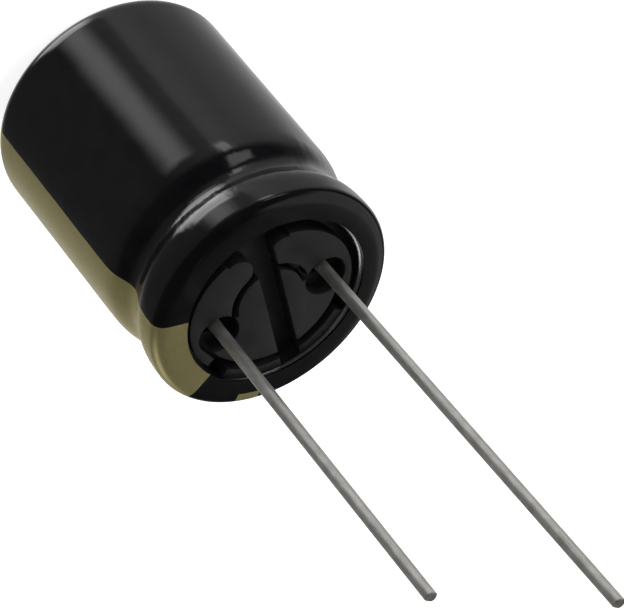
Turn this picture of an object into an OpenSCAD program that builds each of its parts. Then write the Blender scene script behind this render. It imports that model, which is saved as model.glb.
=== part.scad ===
// Radial aluminium electrolytic capacitor. It stands on the flat end of its can, with its leads up.
// The origin is the centre of that end, +Z runs to the lead tips, and the leads stand along X.

/* [Can] */
// Outside diameter of the can
can_d = 16; // [12.5:0.5:22]
// Height of the can over its curl
can_h = 21.3; // [18:0.1:40]
// Thickness of the can's wall
can_t = 0.4; // [0.3:0.05:0.6]
// Radius of the edge round the flat end
base_edge_r = 1.6; // [0.8:0.1:2.5]
// Depth of the bead that grips the end seal
bead_depth = 0.66; // [0.3:0.02:1]
// Half-width of the bead, where it has fallen to about a third of its depth
bead_w = 1.3; // [0.8:0.05:1.8]
// Distance from the top of the curl down to the middle of the bead
bead_drop = 3.8; // [3:0.1:5]
// Radius of the curl's outer edge
curl_edge_r = 0.6; // [0.5:0.05:1.2]
// Width of the curl, from the can's side to the edge of its mouth
curl_w = 1.9; // [1.3:0.05:2.2]
// Depth of the curl's turned-down lip
curl_drop = 1.4; // [1:0.1:2]
// Radius of the curl's inner edge
curl_lip_r = 0.3; // [0.1:0.05:0.5]

/* [Pressure vent] */
// Length of each scored line of the vent
vent_l = 8; // [4:0.5:9]
// Width of a scored line
vent_w = 0.4; // [0.2:0.05:0.8]
// Depth of a scored line
vent_depth = 0.25; // [0.1:0.05:0.3]

/* [Sleeve] */
// Thickness of the shrunk sleeve
sleeve_t = 0.12; // [0.08:0.02:0.3]
// Width that the sleeve laps over the flat end, past its rounded edge
sleeve_lap = 0.9; // [0.4:0.1:2]
// Radius of the hole that the sleeve leaves over the curl
sleeve_mouth_r = 6.1; // [5.9:0.05:6.4]
// Distance by which that hole is off centre
sleeve_shift = 0.2; // [0:0.05:0.4]
// Direction in which it is off centre
sleeve_shift_angle = 171; // [0:1:360]

/* [End seal] */
// Height of the end seal, from its underside to the floor of its relief
seal_h = 5.5; // [4.5:0.1:8]
// Depth of the relief's floor below the top of the curl
seal_sink = 1.3; // [1:0.1:1.6]
// Height of the raised pads over that floor
pad_h = 1.1; // [0.6:0.1:1.2]
// Gap between the outer pads and the curl
pad_gap = 0.05; // [0.02:0.01:0.2]
// Width of the channel that divides the relief
channel_w = 1.4; // [0.8:0.1:2]
// Offset of that channel from the middle, towards the anode
channel_shift = 0.3; // [0:0.05:0.5]
// Width of the arc gap between the outer pads and the inner ones
outer_gap = 0.65; // [0.3:0.05:0.8]
// Inner radius of the outer pads
outer_pad_r = 5.4; // [5.2:0.05:5.6]
// Radius of the arc groove that parts each lobe from its finger
groove_r = 2.45; // [2.2:0.05:2.7]
// Width of that arc groove
groove_w = 0.5; // [0.3:0.05:0.7]
// Radius of each finger's outer edge
finger_r = 5; // [4.8:0.05:5.2]
// Offset of that edge's centre, outwards along the line of the leads
finger_shift = 0.6; // [0.3:0.05:0.7]
// Offset of that centre across the line of the leads, away from the finger's end
finger_rise = 0.25; // [0:0.05:0.4]
// Angle below the line of the leads at which each finger ends
finger_angle = 64; // [50:1:70]
// Angle above the line of the leads at which the cheek outside each lead ends
cheek_angle = 28; // [20:1:35]
// Angle above the line of the leads at which each outer pad starts
outer_pad_angle = 45; // [40:1:60]
// Radius of the well round each lead
well_r = 1.4; // [1.2:0.05:1.6]
// Offset of the well from its lead, away from the fingers
well_shift = 0.6; // [0:0.05:0.8]

/* [Leads] */
// Distance between the middles of the leads
lead_pitch = 7.5; // [5:0.5:10]
// Diameter of the lead wire
wire_d = 0.8; // [0.5:0.1:1]
// Height over which the foot of each wire thickens down to its weld
foot_h = 1.7; // [1:0.1:2]
// Length of the cathode lead beyond the sleeved rim
cathode_l = 24.4; // [5:0.1:40]
// Length of the anode lead beyond the sleeved rim
anode_l = 31.3; // [5:0.1:45]
// Lean of the anode lead
anode_lean = 1.2; // [0:0.1:5]
// Direction in which the anode lead leans
anode_lean_angle = 200; // [0:1:360]

/* [Terminals] */
// Diameter of the round boss in the end seal
boss_d = 2.3; // [1.6:0.1:2.6]
// Depth of the boss's shoulder below the floor of the relief
boss_sink = 0.7; // [0.4:0.1:1.5]
// Height of the cone between the boss and the wire
boss_cone_h = 0.5; // [0.2:0.1:1]
// Diameter of the top of that cone, where the wire is welded on
weld_d = 1.1; // [1:0.1:1.4]
// Length of the boss below the end seal
boss_stub = 0.5; // [0.2:0.1:1]
// Thickness of the flattened tab
tab_t = 0.3; // [0.2:0.05:0.4]
// Width of the flattened tab
tab_w = 2.2; // [1.5:0.1:3]
// Length over which the boss flattens into the tab
tab_taper_l = 0.9; // [0.6:0.1:1.5]
// Length of the tab inside the roll
tab_l = 10; // [6:0.5:11]

/* [Wound element] */
// Clearance between the roll's tape and the can
roll_gap = 0.3; // [0.1:0.05:0.6]
// Diameter of the hollow core left by the winding mandrel
core_d = 2.2; // [1.5:0.1:3]
// Space between the roll and the tapers of the tabs
roll_top_gap = 0.1; // [0.05:0.05:1]
// Clearance round a tab inside the roll
tab_gap = 0.03; // [0.02:0.01:0.1]
// Thickness of the winding tape
tape_t = 0.08; // [0.05:0.01:0.15]
// Width of the winding tape
tape_w = 8; // [5:0.5:10]

/* [Hidden] */
$fn = 96;

eps = 0.01;
far = 2 * can_d;
arc_steps = 10;
wedge_steps = 4;
bead_steps = 26;
bead_reach = 2.1 * bead_w;

can_r = can_d / 2;
wire_r = wire_d / 2;
boss_r = boss_d / 2;
lead_x = lead_pitch / 2;
mouth_r = can_r - curl_w;

// Flat end, top of the curl, front of the sleeved rim, and middle of the bead
base_z = sleeve_t;
curl_z = base_z + can_h;
rim_z = curl_z + sleeve_t;
bead_z = curl_z - bead_drop;

// Floor of the relief, and underside of the end seal
floor_z = curl_z - seal_sink;
seal_z = floor_z - seal_h;

// Where each wire is welded on, where its boss is at full width, and how far the boss and its taper reach
weld_z = floor_z - boss_sink;
boss_z = weld_z - boss_cone_h;
stub_z = seal_z - boss_stub;
taper_z = stub_z - tab_taper_l;

// The roll stands in the rounded edge of the can's flat end
roll_r = can_r - can_t - roll_gap - tape_t;
roll_edge = max(0, roll_r - can_r + base_edge_r);
roll_z = base_z + base_edge_r - sqrt(pow(base_edge_r - can_t, 2) - pow(roll_edge, 2));
roll_top_z = taper_z - roll_top_gap;
tab_z = roll_top_z - tab_l;

// Points on an arc about [x, z], from angle a to angle b
function arc(x, z, r, a, b) =
    [for (i = [0:arc_steps]) let (t = a + (b - a) * i / arc_steps) [x + r * cos(t), z + r * sin(t)]];

// Depth of the bead at height z
function bead(z) = bead_depth * exp(-pow((z - bead_z) / bead_w, 2));

// The can's side through the bead, moved inwards by d
function side(d) = [
    for (i = [-bead_steps / 2:bead_steps / 2])
        let (z = bead_z + bead_reach * 2 * i / bead_steps)
        [can_r - d - bead(z), z]
];

// The can's curled edge, moved inwards by d
function curl_edge(d) = arc(can_r - curl_edge_r, curl_z - curl_edge_r, curl_edge_r - d, 0, 90);

// The can's outline, moved inwards by d, from the edge of its flat end to the top of its curl
function outline(d) = concat(
    arc(can_r - base_edge_r, base_z + base_edge_r, base_edge_r - d, -90, 0),
    side(d),
    curl_edge(d)
);

function reversed(p) = [for (i = [len(p) - 1:-1:0]) p[i]];

// Shrunk sleeve: it follows the can, and laps over both of its ends
module sleeve() {
    lap_r = can_r - base_edge_r - sleeve_lap;
    lip_r = sleeve_mouth_r - 2 * sleeve_shift;
    color([0.07, 0.07, 0.08])
    difference() {
        rotate_extrude()
        polygon(concat(
            [[lap_r, 0]],
            outline(-sleeve_t),
            [[lip_r, rim_z], [lip_r, curl_z]],
            reversed(outline(0)),
            [[lap_r, base_z]]
        ));
        rotate([0, 0, sleeve_shift_angle])
        translate([sleeve_shift, 0, curl_z - eps])
        cylinder(r = sleeve_mouth_r, h = sleeve_t + 2 * eps);
    }
}

// Drawn can, beaded round the end seal and curled over it, with a cross scored in its flat end
module can() {
    color([0.78, 0.79, 0.81])
    difference() {
        rotate_extrude()
        polygon(concat(
            [[0, base_z]],
            outline(0),
            arc(mouth_r + curl_lip_r, curl_z - curl_lip_r, curl_lip_r, 90, 180),
            [[mouth_r, curl_z - curl_drop], [mouth_r + can_t, curl_z - curl_drop]],
            [[mouth_r + can_t, curl_z - can_t]],
            reversed(outline(can_t)),
            [[0, base_z + can_t]]
        ));
        for (a = [0, 90])
            rotate([0, 0, a])
            translate([-vent_l / 2, -vent_w / 2, base_z - eps])
            cube([vent_l, vent_w, vent_depth + eps]);
    }
}

// Rubber end seal, squeezed by the bead and by the curl, with a bore for each boss
module end_seal() {
    color([0.13, 0.13, 0.13])
    difference() {
        union() {
            rotate_extrude()
            polygon(concat(
                [[0, seal_z]],
                [for (p = concat([[can_r - can_t - bead(seal_z), seal_z]], side(can_t))) if (p[1] >= seal_z) p],
                curl_edge(can_t),
                [[mouth_r + can_t, curl_z - can_t], [mouth_r + can_t, curl_z - curl_drop]],
                [[mouth_r, curl_z - curl_drop], [mouth_r, floor_z], [0, floor_z]]
            ));
            translate([0, 0, floor_z - eps])
            linear_extrude(pad_h + eps)
            relief();
        }
        for (x = [-lead_x, lead_x])
            translate([x, 0, seal_z - eps])
            cylinder(r = boss_r, h = seal_h + 2 * eps);
    }
}

// Flat outline of all the raised pads, divided by the channel
module relief() {
    difference() {
        union() {
            half_relief();
            mirror([1, 0]) half_relief();
        }
        translate([-channel_w / 2 - channel_shift, -far / 2])
        square([channel_w, far]);
    }
}

// Flat outline of the pads round one lead
module half_relief() {
    lobe_r = outer_pad_r - outer_gap;
    difference() {
        union() {
            lobe(lobe_r);
            finger(lobe_r);
        }
        translate([lead_x, well_shift])
        circle(r = well_r);
    }
    outer_pad();
}

// Lobe beside the channel, reaching down inside the arc groove
module lobe(lobe_r) {
    inner_r = groove_r - groove_w / 2;
    intersection() {
        circle(r = lobe_r);
        square(far);
    }
    intersection() {
        circle(r = inner_r);
        translate([0, -far / 2])
        square([far, far]);
    }
}

// Curved finger round the foot of the lead, with a round end, and the cheek outside the lead
module finger(lobe_r) {
    inner_r = groove_r + groove_w / 2;
    end_r = (lobe_r - inner_r) / 2;
    intersection() {
        difference() {
            translate([finger_shift, finger_rise])
            circle(r = finger_r);
            circle(r = inner_r);
        }
        wedge(-finger_angle, 0);
    }
    rotate(-finger_angle)
    translate([inner_r + end_r, 0])
    circle(r = end_r);
    intersection() {
        difference() {
            translate([finger_shift, finger_rise])
            circle(r = finger_r);
            circle(r = lobe_r + outer_gap / 2);
        }
        wedge(-finger_angle / 2, cheek_angle);
    }
}

// Outer pad against the curl, between the lead and the mouth of the channel
module outer_pad() {
    intersection() {
        difference() {
            circle(r = mouth_r - pad_gap);
            circle(r = outer_pad_r);
        }
        wedge(outer_pad_angle, 90);
    }
}

// Flat sector from angle a to angle b
module wedge(a, b) {
    polygon(concat(
        [[0, 0]],
        [for (i = [0:wedge_steps]) let (t = a + (b - a) * i / wedge_steps) far * [cos(t), sin(t)]]
    ));
}

// Round wire from its weld up, of length l beyond the rim, with its foot carried down by d below the weld
module wire(l, d) {
    weld_r = weld_d / 2;
    top = rim_z - weld_z + l;
    rotate_extrude()
    polygon([[0, -d], [weld_r, -d], [weld_r, 0], [wire_r, foot_h], [wire_r, top], [0, top]]);
}

// Straight lead, welded to the cathode's boss
module cathode_wire() {
    color([0.72, 0.72, 0.70])
    translate([lead_x, 0, weld_z])
    wire(cathode_l, 0);
}

// Lead that leans a little from its weld, where its foot is flat on the anode's boss
module anode_wire() {
    color([0.72, 0.72, 0.70])
    translate([-lead_x, 0, weld_z])
    difference() {
        rotate([0, 0, anode_lean_angle])
        rotate([0, anode_lean, 0])
        wire(anode_l, weld_d / 2);
        translate([-weld_d, -weld_d, -2 * weld_d])
        cube(2 * weld_d);
    }
}

// Round boss in the end seal, with a cone that the wire is welded to and a flat tab down into the roll
module terminal(x) {
    color([0.80, 0.81, 0.83])
    translate([x, 0, 0]) {
        translate([0, 0, boss_z])
        cylinder(r1 = boss_r, r2 = weld_d / 2, h = boss_cone_h);
        translate([0, 0, stub_z])
        cylinder(r = boss_r, h = boss_z - stub_z);
        intersection() {
            translate([0, 0, taper_z])
            cylinder(r = boss_r, h = tab_taper_l);
            rotate([90, 0, 0])
            linear_extrude(2 * boss_r, center = true)
            polygon([[-tab_t / 2, taper_z], [tab_t / 2, taper_z], [boss_r, stub_z], [-boss_r, stub_z]]);
        }
        translate([-tab_t / 2, -tab_w / 2, tab_z])
        cube([tab_t, tab_w, taper_z - tab_z]);
    }
}

module cathode_terminal() {
    terminal(lead_x);
}

module anode_terminal() {
    terminal(-lead_x);
}

// Roll of foils and separator paper, hollow where the mandrel was, with a slot for each tab
module wound_element() {
    color([0.83, 0.78, 0.66])
    difference() {
        translate([0, 0, roll_z])
        cylinder(r = roll_r, h = roll_top_z - roll_z);
        translate([0, 0, roll_z - eps])
        cylinder(d = core_d, h = roll_top_z - roll_z + 2 * eps);
        for (x = [-lead_x, lead_x])
            translate([x - tab_t / 2 - tab_gap, -tab_w / 2 - tab_gap, tab_z - tab_gap])
            cube([tab_t + 2 * tab_gap, tab_w + 2 * tab_gap, far]);
    }
}

// Tape that holds the roll shut
module winding_tape() {
    color([0.85, 0.70, 0.35])
    translate([0, 0, (roll_z + roll_top_z - tape_w) / 2])
    difference() {
        cylinder(r = roll_r + tape_t, h = tape_w);
        translate([0, 0, -eps])
        cylinder(r = roll_r, h = tape_w + 2 * eps);
    }
}

sleeve();
can();
end_seal();
cathode_wire();
anode_wire();
cathode_terminal();
anode_terminal();
wound_element();
winding_tape();
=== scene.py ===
"""A radial electrolytic capacitor standing on the flat end of its can, with its leads up.

The film sleeve, the moulded end seal and the two lead wires are modelled here. The can, the terminals,
the wound element and its tape keep their own shapes, and are given their finishes.
"""

import math

import bpy
from bpy.props import FloatProperty, FloatVectorProperty, IntProperty, PointerProperty
from mathutils import Matrix, Vector


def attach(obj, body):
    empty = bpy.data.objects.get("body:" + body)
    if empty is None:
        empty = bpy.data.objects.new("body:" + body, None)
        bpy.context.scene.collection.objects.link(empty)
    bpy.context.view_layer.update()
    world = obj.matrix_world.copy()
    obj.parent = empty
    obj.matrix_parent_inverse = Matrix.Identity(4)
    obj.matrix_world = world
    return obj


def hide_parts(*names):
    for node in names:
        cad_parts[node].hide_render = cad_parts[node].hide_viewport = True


bl_info = {
    "name": "Radial capacitor",
    "version": (1, 0, 0),
    "blender": (4, 5, 0),
    "location": "View3D > Sidebar > Capacitor",
    "description": "Models the sleeve, end seal and leads of a radial capacitor, with their finishes",
    "category": "Object",
}

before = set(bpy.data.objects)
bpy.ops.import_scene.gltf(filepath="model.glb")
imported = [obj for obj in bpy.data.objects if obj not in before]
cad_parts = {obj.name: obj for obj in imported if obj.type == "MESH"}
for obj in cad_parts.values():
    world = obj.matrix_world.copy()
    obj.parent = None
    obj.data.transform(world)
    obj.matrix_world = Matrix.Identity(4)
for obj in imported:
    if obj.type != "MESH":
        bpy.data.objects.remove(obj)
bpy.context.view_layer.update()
MM = 0.001
# Past every edge of the capacitor's can, for a band with one open side
BEYOND = 30 * MM


def linear(text):
    """A colour written as sRGB hex digits, as linear values with a full alpha."""
    parts = [int(text[i:i + 2], 16) / 255 for i in (0, 2, 4)]
    return [p / 12.92 if p <= 0.04045 else ((p + 0.055) / 1.055) ** 2.4 for p in parts] + [1.0]


def grain(size):
    """The scale of a noise whose features are about this many millimetres across."""
    return 1 / (size * MM)


# Sizes and colours that a user would change


class SleeveSettings(bpy.types.PropertyGroup):
    """Sizes and colours of the shrunk sleeve."""

    radius: FloatProperty(
        name="Radius", description="Outside radius of the can under the sleeve",
        default=8 * MM, unit="LENGTH")
    height: FloatProperty(
        name="Height", description="Height of the curl's top, under the sleeve",
        default=21.42 * MM, unit="LENGTH")
    film: FloatProperty(
        name="Film", description="Thickness of the shrunk film",
        default=0.12 * MM, unit="LENGTH")
    base_edge: FloatProperty(
        name="Base edge", description="Radius of the edge round the can's flat end",
        default=1.6 * MM, unit="LENGTH")
    rim_edge: FloatProperty(
        name="Rim edge", description="Radius of the curl's outer edge",
        default=0.6 * MM, unit="LENGTH")
    dome: FloatProperty(
        name="Dome", description="Height of the low dome that the film makes over the curl",
        default=0.05 * MM, unit="LENGTH")
    bead_height: FloatProperty(
        name="Bead height", description="Height of the middle of the bead",
        default=17.62 * MM, unit="LENGTH")
    bead_depth: FloatProperty(
        name="Bead depth", description="Depth of the bead",
        default=0.66 * MM, unit="LENGTH")
    bead_width: FloatProperty(
        name="Bead width", description="Half-width at which the bead has fallen to a third of its depth",
        default=1.3 * MM, unit="LENGTH")
    lap_radius: FloatProperty(
        name="Lap radius", description="Radius of the hole the film leaves under the flat end",
        default=5.5 * MM, unit="LENGTH")
    mouth_radius: FloatProperty(
        name="Mouth radius", description="Radius of the hole the film leaves over the curl",
        default=6.1 * MM, unit="LENGTH")
    mouth_shift: FloatProperty(
        name="Mouth shift", description="Distance by which that hole is off centre",
        default=0.2 * MM, unit="LENGTH")
    mouth_direction: FloatProperty(
        name="Mouth direction", description="Direction in which that hole is off centre",
        default=math.radians(171), unit="ROTATION")
    stripe_start: FloatProperty(
        name="Stripe start", description="Angle at which the gold stripe starts",
        default=math.radians(-21), unit="ROTATION")
    stripe_end: FloatProperty(
        name="Stripe end", description="Angle at which the gold stripe ends",
        default=math.radians(32), unit="ROTATION")
    patch_start: FloatProperty(
        name="Patch start", description="Angle at which the small gold patch on the rim starts",
        default=math.radians(59.5), unit="ROTATION")
    patch_end: FloatProperty(
        name="Patch end", description="Angle at which that patch ends",
        default=math.radians(71.5), unit="ROTATION")
    patch_low: FloatProperty(
        name="Patch low", description="Height of that patch's lower edge, on the side of the rim",
        default=18.9 * MM, unit="LENGTH")
    patch_inner: FloatProperty(
        name="Patch inner", description="Radius of that patch's inner edge, on top of the rim",
        default=7.15 * MM, unit="LENGTH")
    segments: IntProperty(
        name="Segments", description="Faces round the sleeve", default=240, min=48, max=480)
    film_colour: FloatVectorProperty(
        name="Film colour", description="Black of the film",
        default=linear("070709"), size=4, subtype="COLOR", min=0, max=1)
    ink_colour: FloatVectorProperty(
        name="Ink colour", description="Gold of the printed stripe",
        default=linear("bdb27e"), size=4, subtype="COLOR", min=0, max=1)


class SealSettings(bpy.types.PropertyGroup):
    """Sizes and colour of the moulded end seal."""

    edge: FloatProperty(
        name="Edge", description="Rounding of the moulded edges",
        default=0.14 * MM, unit="LENGTH")
    colour: FloatVectorProperty(
        name="Colour", description="Black of the rubber",
        default=linear("181819"), size=4, subtype="COLOR", min=0, max=1)


class LeadSettings(bpy.types.PropertyGroup):
    """Sizes and colour of the lead wires."""

    wire_radius: FloatProperty(
        name="Wire radius", description="Radius of the round wire",
        default=0.4 * MM, unit="LENGTH")
    weld_radius: FloatProperty(
        name="Weld radius", description="Radius of a wire's foot where it is welded on",
        default=0.55 * MM, unit="LENGTH")
    weld_height: FloatProperty(
        name="Weld height", description="Height of the welds in the end seal",
        default=19.42 * MM, unit="LENGTH")
    foot: FloatProperty(
        name="Foot", description="Height over which a wire's foot thickens down to its weld",
        default=1.7 * MM, unit="LENGTH")
    pitch: FloatProperty(
        name="Pitch", description="Distance between the leads",
        default=7.5 * MM, unit="LENGTH")
    cathode_top: FloatProperty(
        name="Cathode top", description="Height of the cathode lead's tip",
        default=45.94 * MM, unit="LENGTH")
    anode_top: FloatProperty(
        name="Anode top", description="Height of the anode lead's tip, if it stood straight",
        default=52.84 * MM, unit="LENGTH")
    lean: FloatProperty(
        name="Lean", description="Lean of the anode lead",
        default=math.radians(1.2), unit="ROTATION")
    lean_direction: FloatProperty(
        name="Lean direction", description="Direction in which the anode lead leans",
        default=math.radians(200), unit="ROTATION")
    tip_chamfer: FloatProperty(
        name="Tip chamfer", description="Size of the chamfer round a wire's tip",
        default=0.06 * MM, unit="LENGTH")
    tip_cut: FloatProperty(
        name="Tip cut", description="Depth of the shear's cut below a wire's tip, at its middle",
        default=0.09 * MM, unit="LENGTH")
    tin_colour: FloatVectorProperty(
        name="Tin colour", description="Dull tin on the wires",
        default=linear("dcdbd6"), size=4, subtype="COLOR", min=0, max=1)


class StageSettings(bpy.types.PropertyGroup):
    """Floor, lights and camera."""

    floor_size: FloatProperty(
        name="Floor size", description="Width of the floor", default=6.0, unit="LENGTH")
    camera_place: FloatVectorProperty(
        name="Camera place", description="Where the camera stands",
        default=(52.08 * MM, -180.84 * MM, 171.09 * MM), size=3, subtype="TRANSLATION")
    camera_aim: FloatVectorProperty(
        name="Camera aim", description="Point at the middle of the view",
        default=(-1.89 * MM, 0.47 * MM, 22.80 * MM), size=3, subtype="TRANSLATION")
    camera_roll: FloatProperty(
        name="Camera roll", description="Turn of the camera about its own view",
        default=math.radians(140.5), unit="ROTATION")
    lens: FloatProperty(
        name="Lens", description="Focal length in millimetres, for a sensor 36 mm wide", default=230.78)


# Modelling helpers


def start():
    """Leaves edit mode and deselects everything, so that the next operator acts only on what it adds."""
    if bpy.context.mode != "OBJECT":
        bpy.ops.object.mode_set(mode="OBJECT")
    bpy.ops.object.select_all(action="DESELECT")


def finish_piece(name, materials):
    """Names the active object and its mesh, gives it its finishes, and leaves its place in its mesh."""
    piece = bpy.context.object
    bpy.ops.object.mode_set(mode="OBJECT")
    bpy.ops.object.transform_apply(location=True, rotation=True, scale=True)
    piece.name = piece.data.name = name
    piece.data.materials.clear()
    for material in materials:
        piece.data.materials.append(material)
    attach(piece, "root")
    return piece


def add_rings(profile, segments):
    """Draws a skin of rings about the Z axis, through the profile's points of radius and height."""
    radius, height = profile[0]
    bpy.ops.mesh.primitive_circle_add(
        vertices=segments, radius=radius, fill_type="NOTHING", location=(0, 0, height))
    bpy.ops.object.transform_apply(location=True)
    bpy.ops.object.mode_set(mode="EDIT")
    bpy.ops.mesh.select_all(action="SELECT")
    for (r0, z0), (r1, z1) in zip(profile, profile[1:]):
        bpy.ops.mesh.extrude_region_move(TRANSFORM_OT_translate={"value": (0, 0, z1 - z0)})
        bpy.ops.transform.resize(value=(r1 / r0, r1 / r0, 1), center_override=(0, 0, z1))


def apply_modifier(kind, **settings):
    """Adds a modifier to the active object with these settings, and applies it."""
    bpy.ops.object.modifier_add(type=kind)
    modifier = bpy.context.object.modifiers[-1]
    for key, value in settings.items():
        setattr(modifier, key, value)
    bpy.ops.object.modifier_apply(modifier=modifier.name)


def arc(x, z, radius, first, last, steps):
    """Points on an arc about x, z, between two angles in degrees."""
    turns = [math.radians(first + (last - first) * i / steps) for i in range(steps + 1)]
    return [(x + radius * math.cos(t), z + radius * math.sin(t)) for t in turns]


# Node helpers


def add(tree, kind, inputs, output=0, **settings):
    """Adds a node with these settings, values and links, and returns one of its outputs, if it has any."""
    node = tree.nodes.new("ShaderNode" + kind)
    for key, value in settings.items():
        setattr(node, key, value)
    for key, value in inputs.items():
        if isinstance(value, bpy.types.NodeSocket):
            tree.links.new(value, node.inputs[key])
        else:
            node.inputs[key].default_value = value
    return node.outputs[output] if node.outputs else None


def smooth_band(tree, value, low, high, soft):
    """One between low and high, falling smoothly to nothing over the soft width at each side."""
    rise = add(tree, "MapRange", {0: value, 1: low - soft / 2, 2: low + soft / 2},
               interpolation_type="SMOOTHSTEP")
    fall = add(tree, "MapRange", {0: value, 1: high - soft / 2, 2: high + soft / 2, 3: 1.0, 4: 0.0},
               interpolation_type="SMOOTHSTEP")
    return add(tree, "Math", {0: rise, 1: fall}, operation="MULTIPLY")


def new_material(name):
    """A material with an empty node tree, and the position on the piece."""
    material = bpy.data.materials.new(name)
    material.use_nodes = True
    tree = material.node_tree
    tree.nodes.clear()
    return material, tree, add(tree, "TexCoord", {}, "Object")


# Finishes. Noise mostly stays between 0.3 and 0.7, so that is the range its colours are spread over.


def sleeve_film(s):
    """Glossy black shrunk film with plain fields of gold ink.

    The gloss gives a long thin highlight down the side, and the ripples near the bead break it up. A
    faint dapple in the roughness keeps the black from looking like paint, and the film is duller where
    it is stretched over the curl. Flakes of pigment give the ink a soft metallic sheen.
    """
    material, tree, place = new_material("shrunk film, gloss black with gold ink")
    x = add(tree, "SeparateXYZ", {0: place}, "X")
    y = add(tree, "SeparateXYZ", {0: place}, "Y")
    height = add(tree, "SeparateXYZ", {0: place}, "Z")
    flat = add(tree, "VectorMath", {0: place, 1: (1, 1, 0)}, operation="MULTIPLY")
    radius = add(tree, "VectorMath", {0: flat}, "Value", operation="LENGTH")
    # A printed edge wavers by about 0.05 mm
    waver = add(tree, "TexNoise", {"Vector": place, "Scale": grain(2.5), "Detail": 2.0})
    turn = add(tree, "Math", {0: y, 1: x}, operation="ARCTAN2")
    turn = add(tree, "Math", {0: waver, 1: 0.012, 2: turn}, operation="MULTIPLY_ADD")
    stripe = smooth_band(tree, turn, s.stripe_start, s.stripe_end, 0.006)
    patch = smooth_band(tree, turn, s.patch_start, s.patch_end, 0.01)
    patch_side = smooth_band(tree, height, s.patch_low, BEYOND, 0.1 * MM)
    patch_rim = smooth_band(tree, radius, s.patch_inner, BEYOND, 0.08 * MM)
    patch = add(tree, "Math", {0: patch, 1: patch_side}, operation="MULTIPLY")
    patch = add(tree, "Math", {0: patch, 1: patch_rim}, operation="MULTIPLY")
    ink = add(tree, "Math", {0: stripe, 1: patch}, operation="MAXIMUM")

    dapple = add(tree, "TexNoise", {"Vector": place, "Scale": grain(1.2), "Detail": 3.0})
    dapple = add(tree, "MapRange", {0: dapple, 1: 0.3, 2: 0.7})
    black = add(tree, "Mix", {0: dapple, 6: s.film_colour, 7: linear("0c0c0e")}, 2, data_type="RGBA")
    gloss = add(tree, "MapRange", {0: dapple, 3: 0.07, 4: 0.13})
    crown = smooth_band(tree, height, s.height + 0.5 * s.film, BEYOND, 0.1 * MM)
    gloss = add(tree, "Mix", {0: crown, 2: gloss, 3: 0.26})
    flake = add(tree, "TexNoise", {"Vector": place, "Scale": grain(0.12), "Detail": 2.0})
    flake = add(tree, "MapRange", {0: flake, 1: 0.3, 2: 0.7})
    gold = add(tree, "Mix", {0: flake, 6: s.ink_colour, 7: linear("b0a672")}, 2, data_type="RGBA")
    satin = add(tree, "MapRange", {0: flake, 3: 0.32, 4: 0.38})

    rippled_low, rippled_high = 15.4 * MM, 19.8 * MM
    near_bead = smooth_band(tree, height, rippled_low, rippled_high, 2.0 * MM)
    long_way = add(tree, "Mapping", {"Vector": place, "Scale": (1, 1, 0.45)})
    ripple = add(tree, "TexNoise", {"Vector": long_way, "Scale": grain(1.1), "Detail": 2.0})
    ripple = add(tree, "Math", {0: ripple, 1: near_bead}, operation="MULTIPLY")
    swell = add(tree, "TexNoise", {"Vector": place, "Scale": grain(3.0), "Detail": 1.0})
    relief = add(tree, "Bump", {"Height": swell, "Distance": 0.02 * MM, "Strength": 1.0})
    relief = add(tree, "Bump", {
        "Height": ripple, "Distance": 0.045 * MM, "Strength": 1.0, "Normal": relief})
    shader = add(tree, "BsdfPrincipled", {
        "Base Color": add(tree, "Mix", {0: ink, 6: black, 7: gold}, 2, data_type="RGBA"),
        "Roughness": add(tree, "Mix", {0: ink, 2: gloss, 3: satin}),
        "Metallic": add(tree, "Math", {0: ink, 1: 0.8}, operation="MULTIPLY"),
        "Normal": relief,
    })
    add(tree, "OutputMaterial", {0: shader})
    return material


def moulded_rubber(s):
    """Moulded black rubber, satin.

    A faint bloom clouds its raised pads. Below the pads' height the floor between them is painted darker,
    as painted shade in the recesses, and the fine grain of the mould spreads its sheen.
    """
    material, tree, place = new_material("moulded rubber, satin black")
    bloom = add(tree, "TexNoise", {"Vector": place, "Scale": grain(1.6), "Detail": 3.0})
    cloud = add(tree, "MapRange", {0: bloom, 1: 0.3, 2: 0.7})
    mould = add(tree, "TexNoise", {"Vector": place, "Scale": grain(0.12), "Detail": 3.0})
    pads = add(tree, "Mix", {0: cloud, 6: s.colour, 7: linear("1e1e1f")}, 2, data_type="RGBA")
    height = add(tree, "SeparateXYZ", {0: place}, "Z")
    # Painted shade: below these heights the recesses between the pads are painted darker, and above them
    # the pads keep their own black
    dark_below, pale_above = 20.7 * MM, 21.2 * MM
    recess_shade_fade = add(tree, "MapRange", {0: height, 1: dark_below, 2: pale_above})
    relief = add(tree, "Bump", {"Height": mould, "Distance": 0.008 * MM, "Strength": 1.0})
    relief = add(tree, "Bump", {
        "Height": bloom, "Distance": 0.03 * MM, "Strength": 1.0, "Normal": relief})
    shader = add(tree, "BsdfPrincipled", {
        # The darker black 101011 is painted shade in the recesses
        "Base Color": add(tree, "Mix", {0: recess_shade_fade, 6: linear("101011"), 7: pads}, 2, data_type="RGBA"),
        "Roughness": add(tree, "MapRange", {0: cloud, 3: 0.42, 4: 0.6}),
        "Normal": relief,
    })
    add(tree, "OutputMaterial", {0: shader})
    return material


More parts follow.
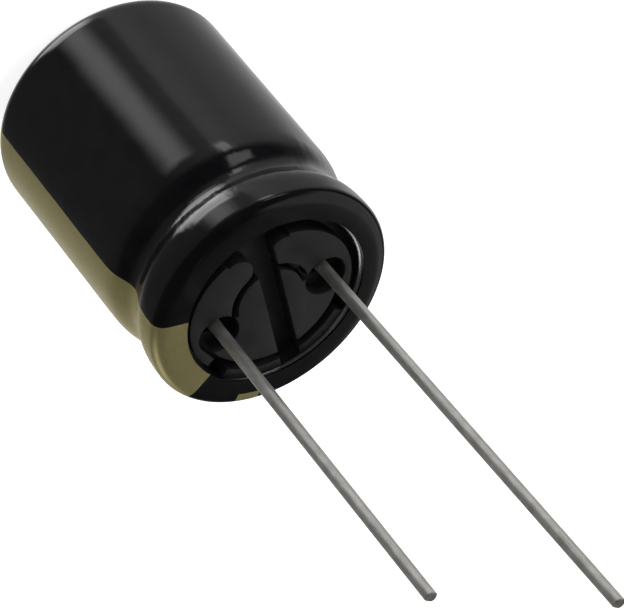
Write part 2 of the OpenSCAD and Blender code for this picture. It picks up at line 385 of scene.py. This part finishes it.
def dull_tin(s):
    """Dull tin plate on drawn wire: it is mottled, and faint drawing lines stretch its sheen lengthwise.

    The drawing lines are drawn 0.1 mm apart, which is coarser than real ones, so that they show.
    """
    material, tree, place = new_material("tin plate, dull")
    long_way = add(tree, "Mapping", {"Vector": place, "Scale": (1, 1, 0.5)})
    mottle = add(tree, "TexNoise", {"Vector": long_way, "Scale": grain(0.5), "Detail": 4.0})
    cloud = add(tree, "MapRange", {0: mottle, 1: 0.3, 2: 0.7})
    drawn = add(tree, "Mapping", {"Vector": place, "Scale": (1, 1, 0.04)})
    lines = add(tree, "TexNoise", {"Vector": drawn, "Scale": grain(0.1), "Detail": 2.0})
    relief = add(tree, "Bump", {"Height": lines, "Distance": 0.012 * MM, "Strength": 1.0})
    relief = add(tree, "Bump", {
        "Height": mottle, "Distance": 0.03 * MM, "Strength": 1.0, "Normal": relief})
    shader = add(tree, "BsdfPrincipled", {
        "Base Color": add(
            tree, "Mix", {0: cloud, 6: linear("bcbbb6"), 7: s.tin_colour}, 2, data_type="RGBA"),
        "Roughness": add(tree, "MapRange", {0: cloud, 3: 0.36, 4: 0.52}),
        "Metallic": 0.9,
        "Normal": relief,
    })
    add(tree, "OutputMaterial", {0: shader})
    return material


def sheared_steel():
    """Sheared end of the wire: bare steel, darker and browner than the tin, with torn lines across it."""
    material, tree, place = new_material("sheared steel, dark")
    across = add(tree, "Mapping", {"Vector": place, "Scale": (0.2, 1, 1)})
    torn = add(tree, "TexNoise", {"Vector": across, "Scale": grain(0.15), "Detail": 3.0})
    worn = add(tree, "MapRange", {0: torn, 1: 0.3, 2: 0.7})
    shader = add(tree, "BsdfPrincipled", {
        "Base Color": add(
            tree, "Mix", {0: worn, 6: linear("5d5955"), 7: linear("8a8178")}, 2, data_type="RGBA"),
        "Roughness": add(tree, "MapRange", {0: worn, 3: 0.4, 4: 0.6}),
        "Metallic": 1.0,
        "Normal": add(tree, "Bump", {"Height": torn, "Distance": 0.02 * MM, "Strength": 1.0}),
    })
    add(tree, "OutputMaterial", {0: shader})
    return material


def drawn_aluminium():
    """Bright drawn aluminium: fine lines run up the can's wall, and soften its reflections."""
    material, tree, place = new_material("drawn aluminium, bright")
    cloud = add(tree, "TexNoise", {"Vector": place, "Scale": grain(2.0), "Detail": 3.0})
    cloud = add(tree, "MapRange", {0: cloud, 1: 0.3, 2: 0.7})
    drawn = add(tree, "Mapping", {"Vector": place, "Scale": (1, 1, 0.05)})
    lines = add(tree, "TexNoise", {"Vector": drawn, "Scale": grain(0.08), "Detail": 2.0})
    shader = add(tree, "BsdfPrincipled", {
        "Base Color": add(
            tree, "Mix", {0: cloud, 6: linear("d3d5d8"), 7: linear("e3e4e6")}, 2, data_type="RGBA"),
        "Roughness": add(tree, "MapRange", {0: cloud, 3: 0.2, 4: 0.32}),
        "Metallic": 1.0,
        "Normal": add(tree, "Bump", {"Height": lines, "Distance": 0.004 * MM, "Strength": 1.0}),
    })
    add(tree, "OutputMaterial", {0: shader})
    return material


def pressed_aluminium():
    """Soft aluminium pressed flat: it is duller than the can, with small dents from the press."""
    material, tree, place = new_material("pressed aluminium, dull")
    dents = add(tree, "TexNoise", {"Vector": place, "Scale": grain(0.6), "Detail": 3.0})
    worn = add(tree, "MapRange", {0: dents, 1: 0.3, 2: 0.7})
    shader = add(tree, "BsdfPrincipled", {
        "Base Color": add(
            tree, "Mix", {0: worn, 6: linear("c4c6c9"), 7: linear("d8dadc")}, 2, data_type="RGBA"),
        "Roughness": add(tree, "MapRange", {0: worn, 3: 0.34, 4: 0.5}),
        "Metallic": 1.0,
        "Normal": add(tree, "Bump", {"Height": dents, "Distance": 0.012 * MM, "Strength": 1.0}),
    })
    add(tree, "OutputMaterial", {0: shader})
    return material


def wound_paper():
    """Damp separator paper over wound foil: its turns show as rings on the roll's ends.

    Real turns are about 0.1 mm apart, too fine to show, so the rings are drawn much wider apart.
    """
    material, tree, place = new_material("wound paper and foil, damp")
    rings = add(tree, "TexWave", {
        "Vector": place, "Scale": grain(3.2), "Distortion": 0.4, "Detail": 1.0}, 1,
        wave_type="RINGS", rings_direction="Z")
    long_way = add(tree, "Mapping", {"Vector": place, "Scale": (1, 1, 0.3)})
    fibre = add(tree, "TexNoise", {"Vector": long_way, "Scale": grain(0.3), "Detail": 3.0})
    cloud = add(tree, "MapRange", {0: fibre, 1: 0.3, 2: 0.7})
    paper = add(
        tree, "Mix", {0: cloud, 6: linear("c3b48f"), 7: linear("d6caa9")}, 2, data_type="RGBA")
    relief = add(tree, "Bump", {"Height": fibre, "Distance": 0.01 * MM, "Strength": 1.0})
    relief = add(tree, "Bump", {
        "Height": rings, "Distance": 0.02 * MM, "Strength": 1.0, "Normal": relief})
    shader = add(tree, "BsdfPrincipled", {
        "Base Color": add(tree, "Mix", {0: rings, 6: paper, 7: linear("9f957f")}, 2, data_type="RGBA"),
        "Roughness": add(tree, "MapRange", {0: cloud, 3: 0.45, 4: 0.65}),
        "Normal": relief,
    })
    add(tree, "OutputMaterial", {0: shader})
    return material


def amber_tape():
    """Amber film tape: smooth, with slight ripples where it was drawn tight round the roll."""
    material, tree, place = new_material("film tape, amber")
    long_way = add(tree, "Mapping", {"Vector": place, "Scale": (1, 1, 0.3)})
    ripple = add(tree, "TexNoise", {"Vector": long_way, "Scale": grain(1.4), "Detail": 2.0})
    cloud = add(tree, "MapRange", {0: ripple, 1: 0.3, 2: 0.7})
    shader = add(tree, "BsdfPrincipled", {
        "Base Color": add(
            tree, "Mix", {0: cloud, 6: linear("b98532"), 7: linear("c9973f")}, 2, data_type="RGBA"),
        "Roughness": add(tree, "MapRange", {0: cloud, 3: 0.2, 4: 0.3}),
        "Normal": add(tree, "Bump", {"Height": ripple, "Distance": 0.02 * MM, "Strength": 1.0}),
    })
    add(tree, "OutputMaterial", {0: shader})
    return material


def pale_floor():
    """Painted board, pale and matt, with the faintest unevenness. A low glow evens out its white."""
    material, tree, place = new_material("painted board, pale")
    cloud = add(tree, "TexNoise", {"Vector": place, "Scale": grain(120), "Detail": 2.0})
    cloud = add(tree, "MapRange", {0: cloud, 1: 0.3, 2: 0.7})
    shader = add(tree, "BsdfPrincipled", {
        "Base Color": add(
            tree, "Mix", {0: cloud, 6: linear("f6f6f6"), 7: linear("f9f9f9")}, 2, data_type="RGBA"),
        "Roughness": 0.8,
        "Specular IOR Level": 0.1,
        "Emission Color": (1, 1, 1, 1),
        "Emission Strength": 0.75,
    })
    add(tree, "OutputMaterial", {0: shader})
    return material


# Studio light

# How brightly the walls are mirrored, by the angle round the room in degrees from the cathode's side
WALLS = [
    (-180, 0.37), (-147, 0.42), (-127, 0.63), (-120, 0.6), (-116, 0.3), (-106, 0.26), (-98, 0.22),
    (-70, 0.08), (-50, 0.1), (25, 0.06), (43, 0.14), (60, 0.3), (75, 0.55), (100, 0.95), (114, 0.9),
    (133, 0.55), (153, 0.42), (179, 0.37),
]
# Soft windows: a strength, then the bands that each one fills, as a low edge, a high edge and a softness.
# X, Y and Z are parts of the direction that is mirrored. The turn and the rise are its angles in degrees.
WINDOWS = [
    # The long highlight down the side
    (1.5, ("X", -0.1, 0.19, 0.24), ("Y", -0.8, -0.5, 0.07), ("Z", -2, -0.3, 0.3)),
    # The bright pair on the bead's upper slope
    (3.4, ("X", -0.18, 0.26, 0.16), ("Y", -0.56, -0.04, 0.1), ("Z", -2, -0.3, 0.3)),
    # Two small bright spots on the bead's lower slope
    (1.8, ("turn", -128, -117, 6), ("rise", -34, -14, 8)),
    (1.5, ("turn", -136, -118, 6), ("rise", -3, 5, 4)),
    # A pale edge on the anode's side
    (0.55, ("turn", 135, 165, 24), ("rise", -38, -14, 12)),
    # The thin bright arc of the can inside the sleeve's mouth
    (0.9, ("turn", 35, 70, 16), ("rise", -2, 22, 10)),
    # A soft sheen on the anode's half of the rim
    (0.42, ("X", -2, -0.31, 0.14), ("Y", -0.3, 2, 0.4), ("Z", 0.15, 2, 0.2)),
]
# Light from the rest of the room
DIM = 0.03
# Each lamp's name, its place in metres and its power in watts
LAMPS = [
    ("back light", (0.0, 1.3, 0.6), 24),
    ("left light", (-1.2, -0.3, 0.55), 14),
    ("front light", (0.7, -1.2, 0.7), 10),
]
LAMP_SIZE = 1.2


# Operators


class CAPACITOR_OT_sleeve(bpy.types.Operator):
    """Models the shrunk film over the can, from its lap under the flat end to its mouth on the curl"""

    bl_idname = "capacitor.sleeve"
    bl_label = "Sleeve"

    def bead(self, height):
        """Depth of the bead at this height."""
        s = bpy.context.scene.capacitor_sleeve
        return s.bead_depth * math.exp(-((height - s.bead_height) / s.bead_width) ** 2)

    def execute(self, context):
        s = context.scene.capacitor_sleeve
        start()
        side = s.radius + s.film
        top = s.height + s.film
        base = s.base_edge + s.film
        lap = s.lap_radius + 0.4 * MM
        rim = s.height - s.rim_edge - s.dome
        inner = s.mouth_radius + 0.12 * MM
        reach = 2.1 * s.bead_width
        bead_low = s.bead_height - reach
        profile = [(s.lap_radius, 0), (lap, 0)]
        profile += arc(s.radius - s.base_edge, base, base, -90, 0, 14)
        profile += [(side, base + (bead_low - base) * i / 12) for i in range(1, 12)]
        bead = [bead_low + 2 * reach * i / 44 for i in range(45)]
        profile += [(side - self.bead(z), z) for z in bead]
        profile += arc(s.radius - s.rim_edge, rim, s.rim_edge + s.film, 0, 84, 12)
        outer, edge = profile[-1]
        crown = [math.radians(15 * i) for i in range(1, 7)]
        profile += [
            (outer + (inner - outer) * (1 - math.cos(t)), edge + (top - edge) * math.sin(t)) for t in crown]
        add_rings(profile, s.segments)
        # The last ring is the edge of the mouth, which is moved off centre
        bpy.ops.mesh.extrude_region_move()
        scale = s.mouth_radius / inner
        bpy.ops.transform.resize(value=(scale, scale, 1), center_override=(0, 0, 0))
        bpy.ops.mesh.select_all(action="DESELECT")
        bpy.ops.object.mode_set(mode="OBJECT")
        for vertex in context.object.data.vertices:
            out = math.hypot(vertex.co.x, vertex.co.y)
            vertex.select = vertex.co.z > top - 0.01 * MM and out < s.mouth_radius + 0.2 * MM
        bpy.ops.object.mode_set(mode="EDIT")
        shift = Vector((math.cos(s.mouth_direction), math.sin(s.mouth_direction), 0)) * s.mouth_shift
        bpy.ops.transform.translate(value=shift)
        bpy.ops.mesh.select_all(action="SELECT")
        bpy.ops.mesh.normals_make_consistent(inside=False)
        bpy.ops.object.mode_set(mode="OBJECT")
        apply_modifier("SOLIDIFY", thickness=s.film, offset=-1)
        bpy.ops.object.shade_smooth_by_angle(angle=math.radians(40))
        piece = finish_piece("shrunk_sleeve", [sleeve_film(s)])
        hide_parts("sleeve")
        return {"FINISHED"}


class CAPACITOR_OT_end_seal(bpy.types.Operator):
    """Rounds the moulded edges of the rubber end seal"""

    bl_idname = "capacitor.end_seal"
    bl_label = "End seal"

    def execute(self, context):
        s = context.scene.capacitor_seal
        start()
        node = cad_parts["end_seal"]
        piece = node.copy()
        piece.data = node.data.copy()
        context.collection.objects.link(piece)
        context.view_layer.objects.active = piece
        piece.select_set(True)
        bpy.ops.object.mode_set(mode="EDIT")
        bpy.ops.mesh.select_all(action="SELECT")
        bpy.ops.mesh.remove_doubles(threshold=0.001 * MM)
        bpy.ops.mesh.dissolve_limited(angle_limit=math.radians(1))
        bpy.ops.object.mode_set(mode="OBJECT")
        apply_modifier("BEVEL", width=s.edge, segments=3, limit_method="ANGLE",
                       angle_limit=math.radians(40), miter_outer="MITER_ARC", harden_normals=False)
        apply_modifier("TRIANGULATE")
        bpy.ops.object.shade_smooth_by_angle(angle=math.radians(35))
        piece = finish_piece("moulded_end_seal", [moulded_rubber(s)])
        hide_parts("end_seal")
        return {"FINISHED"}


class CAPACITOR_OT_leads(bpy.types.Operator):
    """Models the two lead wires, each with a thick foot at its weld and a sheared tip"""

    bl_idname = "capacitor.leads"
    bl_label = "Lead wires"

    def wire(self, name, node, place, top, lean, direction, finishes):
        """One wire from its foot at a weld, cut off aslant at its tip, and leaning about its foot."""
        s = bpy.context.scene.capacitor_leads
        start()
        length = top - s.weld_height
        rings = 16
        waist = (s.wire_radius * 1.18, s.foot * 0.45)
        shear_normal = (0.22, 0.1, 1)
        profile = [(s.weld_radius, 0), waist, (s.wire_radius, s.foot)]
        profile += [(s.wire_radius, s.foot + (length - s.foot) * i / rings) for i in range(1, rings)]
        profile += [(s.wire_radius, length - 0.05 * MM), (s.wire_radius - s.tip_chamfer, length)]
        add_rings(profile, 40)
        # The shear leaves a slanting end, and the fill closes both ends
        bpy.ops.mesh.select_all(action="SELECT")
        bpy.ops.mesh.bisect(
            plane_co=(0, 0, length - s.tip_cut), plane_no=shear_normal, use_fill=False,
            clear_outer=True, clear_inner=False)
        bpy.ops.mesh.select_all(action="SELECT")
        bpy.ops.mesh.remove_doubles(threshold=0.001 * MM)
        bpy.ops.mesh.fill_holes(sides=0)
        bpy.ops.mesh.select_all(action="SELECT")
        bpy.ops.mesh.normals_make_consistent(inside=False)
        bpy.ops.object.mode_set(mode="OBJECT")
        piece = bpy.context.object
        piece.matrix_world = (
            Matrix.Translation(place) @ Matrix.Rotation(direction, 4, "Z")
            @ Matrix.Rotation(lean, 4, "Y") @ Matrix.Rotation(-direction, 4, "Z"))
        bpy.ops.object.shade_smooth_by_angle(angle=math.radians(30))
        piece = finish_piece(name, finishes)
        # The face with the highest middle is a sliver beside the end, so the sheared finish barely shows
        tip = max(piece.data.polygons, key=lambda face: face.center.z)
        tip.material_index = 1
        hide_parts(node)

    def execute(self, context):
        s = context.scene.capacitor_leads
        finishes = [dull_tin(s), sheared_steel()]
        self.wire("cathode_lead", "cathode_wire", (s.pitch / 2, 0, s.weld_height),
                  s.cathode_top, 0, 0, finishes)
        self.wire("anode_lead", "anode_wire", (-s.pitch / 2, 0, s.weld_height),
                  s.anode_top, s.lean, s.lean_direction, finishes)
        return {"FINISHED"}


class CAPACITOR_OT_inner_parts(bpy.types.Operator):
    """Gives the can, the terminals, the wound element and its tape their finishes"""

    bl_idname = "capacitor.inner_parts"
    bl_label = "Can and inner parts"

    def execute(self, context):
        press = pressed_aluminium()
        finishes = {
            "can": drawn_aluminium(),
            "cathode_terminal": press,
            "anode_terminal": press,
            "wound_element": wound_paper(),
            "winding_tape": amber_tape(),
        }
        for node, material in finishes.items():
            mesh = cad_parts[node].data
            mesh.materials.clear()
            mesh.materials.append(material)
        return {"FINISHED"}


class CAPACITOR_OT_stage(bpy.types.Operator):
    """Sets the pale floor, the soft studio light and the camera"""

    bl_idname = "capacitor.stage"
    bl_label = "Stage"

    def room(self, scene):
        """What the gloss mirrors: pale walls low down and soft windows. The camera sees plain white."""
        world = bpy.data.worlds.new("studio")
        scene.world = world
        world.use_nodes = True
        tree = world.node_tree
        tree.nodes.clear()
        way = add(tree, "TexCoord", {}, "Generated")
        axes = {axis: add(tree, "SeparateXYZ", {0: way}, axis) for axis in "XYZ"}
        turn = add(tree, "Math", {0: axes["Y"], 1: axes["X"]}, operation="ARCTAN2")
        turn = add(tree, "Math", {0: turn, 1: 180 / math.pi}, operation="MULTIPLY")
        rise = add(tree, "Math", {0: axes["Z"]}, operation="ARCSINE")
        rise = add(tree, "Math", {0: rise, 1: 180 / math.pi}, operation="MULTIPLY")
        ways = {"turn": turn, "rise": rise, **axes}
        around = add(tree, "MapRange", {0: turn, 1: -180.0, 2: 180.0})
        wall = add(tree, "ValToRGB", {0: around})
        stops = wall.node.color_ramp.elements
        stops.remove(stops[-1])
        for i, (angle, light) in enumerate(WALLS):
            stop = stops.new((angle + 180) / 360) if i else stops[0]
            stop.position = (angle + 180) / 360
            stop.color = (light, light, light, 1)
        low_down = smooth_band(tree, rise, -95, -14, 20)
        lit = add(tree, "Math", {0: wall, 1: low_down}, operation="MULTIPLY")
        for strength, *bands in WINDOWS:
            window = strength
            for way, low, high, soft in bands:
                band = smooth_band(tree, ways[way], low, high, soft)
                window = add(tree, "Math", {0: band, 1: window}, operation="MULTIPLY")
            lit = add(tree, "Math", {0: window, 1: lit}, operation="ADD")
        lit = add(tree, "Math", {0: lit, 1: DIM}, operation="ADD")
        seen = add(tree, "LightPath", {}, "Is Camera Ray")
        light = add(tree, "Mix", {0: seen, 2: lit, 3: 1.0})
        add(tree, "OutputWorld", {0: add(tree, "Background", {"Color": light, "Strength": 1.0})})

    def soft_light(self, name, place, power):
        """A large square lamp that faces the middle of the capacitor, and isn't mirrored in it."""
        bpy.ops.object.light_add(type="AREA", location=place)
        lamp = bpy.context.object
        lamp.name = name
        lamp.data.size = LAMP_SIZE
        lamp.data.energy = power
        lamp.visible_glossy = False
        aim = Vector((0, 0, 20 * MM)) - Vector(place)
        lamp.rotation_euler = aim.to_track_quat("-Z", "Y").to_euler()

    def execute(self, context):
        s = context.scene.capacitor_stage
        start()
        bpy.ops.mesh.primitive_plane_add(size=s.floor_size, location=(0, 0, 0))
        floor = context.object
        floor.name = "floor"
        floor.data.materials.append(pale_floor())
        floor.visible_glossy = False
        start()
        self.room(context.scene)
        for name, place, power in LAMPS:
            self.soft_light(name, place, power)
        bpy.ops.object.camera_add(location=s.camera_place)
        camera = context.object
        camera.name = "camera"
        camera.data.lens = s.lens
        camera.data.sensor_width = 36
        camera.data.clip_start = 0.01
        aim = Vector(s.camera_aim) - Vector(s.camera_place)
        level = aim.to_track_quat("-Z", "Y").to_matrix()
        turned = level @ Matrix.Rotation(s.camera_roll, 3, "Z")
        camera.rotation_euler = turned.to_euler()
        context.scene.camera = camera
        context.scene.view_settings.view_transform = "Standard"
        return {"FINISHED"}


class CAPACITOR_PT_panel(bpy.types.Panel):
    """Lists the capacitor's pieces and their sizes in the sidebar"""

    bl_idname = "CAPACITOR_PT_panel"
    bl_label = "Radial capacitor"
    bl_space_type = "VIEW_3D"
    bl_region_type = "UI"
    bl_category = "Capacitor"

    def draw(self, context):
        for name, operators in PIECES.items():
            box = self.layout.box()
            for operator in operators:
                box.operator(operator)
            if name:
                group = getattr(context.scene, name)
                for key in group.__annotations__:
                    box.prop(group, key)


PIECES = {
    "capacitor_sleeve": ["capacitor.sleeve"],
    "capacitor_seal": ["capacitor.end_seal"],
    "capacitor_leads": ["capacitor.leads"],
    "": ["capacitor.inner_parts"],
    "capacitor_stage": ["capacitor.stage"],
}
GROUPS = {
    "capacitor_sleeve": SleeveSettings,
    "capacitor_seal": SealSettings,
    "capacitor_leads": LeadSettings,
    "capacitor_stage": StageSettings,
}
CLASSES = [
    CAPACITOR_OT_sleeve, CAPACITOR_OT_end_seal, CAPACITOR_OT_leads, CAPACITOR_OT_inner_parts,
    CAPACITOR_OT_stage, CAPACITOR_PT_panel,
]


def register():
    for name, group in GROUPS.items():
        bpy.utils.register_class(group)
        setattr(bpy.types.Scene, name, PointerProperty(type=group))
    for cls in CLASSES:
        bpy.utils.register_class(cls)


def unregister():
    for cls in reversed(CLASSES):
        bpy.utils.unregister_class(cls)
    for name, group in GROUPS.items():
        delattr(bpy.types.Scene, name)
        bpy.utils.unregister_class(group)


def main():
    register()
    bpy.ops.capacitor.sleeve()
    bpy.ops.capacitor.end_seal()
    bpy.ops.capacitor.leads()
    bpy.ops.capacitor.inner_parts()
    bpy.ops.capacitor.stage()


if __name__ == "__main__":
    main()
